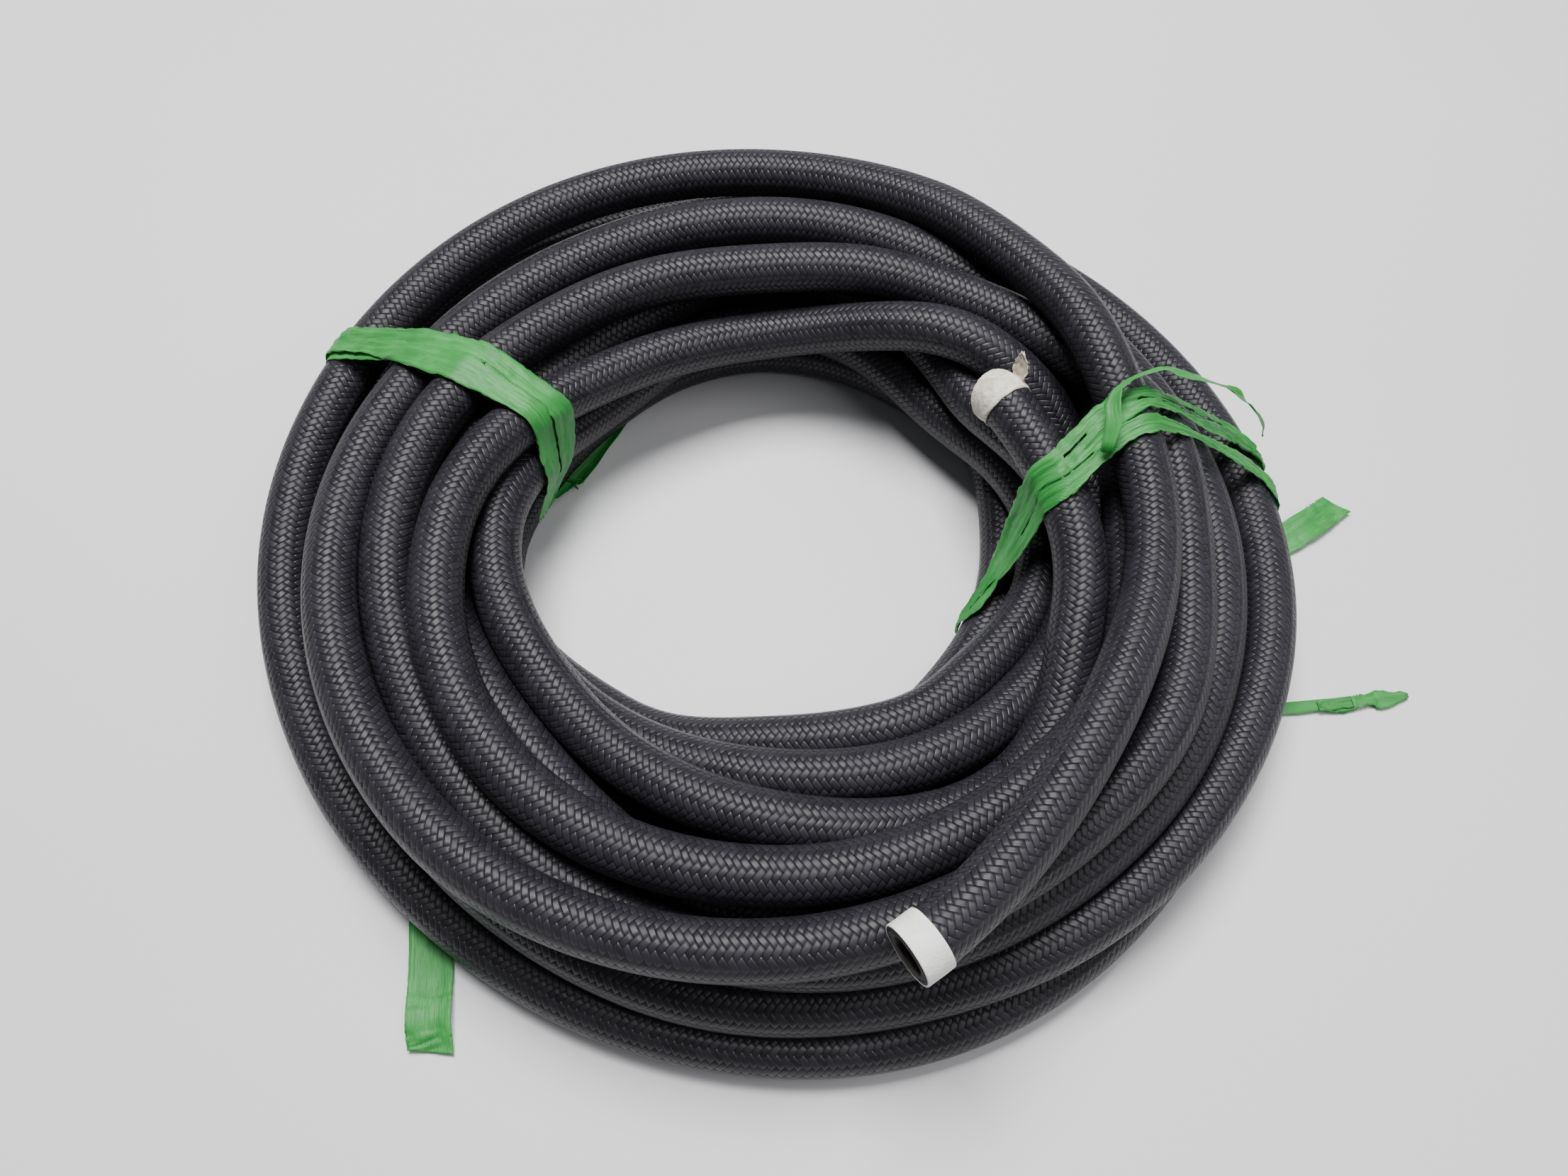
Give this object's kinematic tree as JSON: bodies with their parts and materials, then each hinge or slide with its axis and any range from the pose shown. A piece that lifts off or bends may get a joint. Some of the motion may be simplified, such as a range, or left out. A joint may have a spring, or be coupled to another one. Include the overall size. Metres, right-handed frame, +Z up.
{
  "type": "hydraulic hose",
  "caption": "Bundled coil of braid-covered rubber hose, tied at two places with plastic ribbon, with both cut ends taped and free to lift.",
  "frame": {"origin": "on the floor, under the middle of the whole object's box, which takes in the ribbon tails; the coil's own centre is 22.4 mm towards -X and 2.3 mm towards +Y of it", "axes": "+Z up; the taped outer end faces -Y and -X, the right-hand tie is towards +X and the left-hand tie towards -X"},
  "size_m": [0.3983, 0.3349, 0.0821],
  "materials": {
    "braid": "woven, slightly glossy",
    "rubber": "matte",
    "ribbon": "satin",
    "tape": "matte"
  },
  "bodies": {
    "coil": {"hose_coil": "braid", "outer_run": "braid", "inner_run": "braid", "tie_left_wrap": "ribbon", "tie_left_outer_layer": "ribbon", "tie_left_tail_inside": "ribbon", "tie_left_tail_under": "ribbon", "tie_right_band": "ribbon", "tie_right_rear_arm": "ribbon", "tie_right_front_arm": "ribbon", "tie_right_under": "ribbon", "tie_right_loop": "ribbon", "tie_right_thin_under": "ribbon"},
    "outer_end": {"outer_end_cover": "braid", "outer_end_liner": "rubber", "outer_end_tape": "tape"},
    "inner_end": {"inner_end_cover": "braid", "inner_end_liner": "rubber", "inner_end_tape": "tape", "inner_tape_tag": "tape"},
    "front_tail": {"tie_left_tail_front": "ribbon"},
    "thin_tail": {"tie_right_thin_tail": "ribbon"},
    "wide_tail": {"tie_right_wide_tail": "ribbon"}
  },
  "joints": [
    {"name": "outer_end_lift", "type": "hinge", "parent": "coil", "child": "outer_end", "pos_m": [0.09748, 0.0023, 0.07315], "axis": [-1, 0, 0], "range_deg": [0, 25], "stiffness_Nm_per_rad": 0.15},
    {"name": "inner_end_lift", "type": "hinge", "parent": "coil", "child": "inner_end", "pos_m": [0.06708, 0.01969, 0.06587], "axis": [0.9816, 0.1908, 0], "range_deg": [0, 10], "stiffness_Nm_per_rad": 0.1},
    {"name": "front_tail_lift", "type": "hinge", "parent": "coil", "child": "front_tail", "pos_m": [-0.12915, -0.13683, 0.0009], "axis": [-0.9916, -0.1297, 0], "range_deg": [0, 60]},
    {"name": "thin_tail_lift", "type": "hinge", "parent": "coil", "child": "thin_tail", "pos_m": [0.15698, -0.04635, 0.0009], "axis": [0.0995, -0.995, 0], "range_deg": [0, 60]},
    {"name": "wide_tail_lift", "type": "hinge", "parent": "coil", "child": "wide_tail", "pos_m": [0.16065, 0.01735, 0.0009], "axis": [0.5309, -0.8475, 0], "range_deg": [0, 60]}
  ]
}
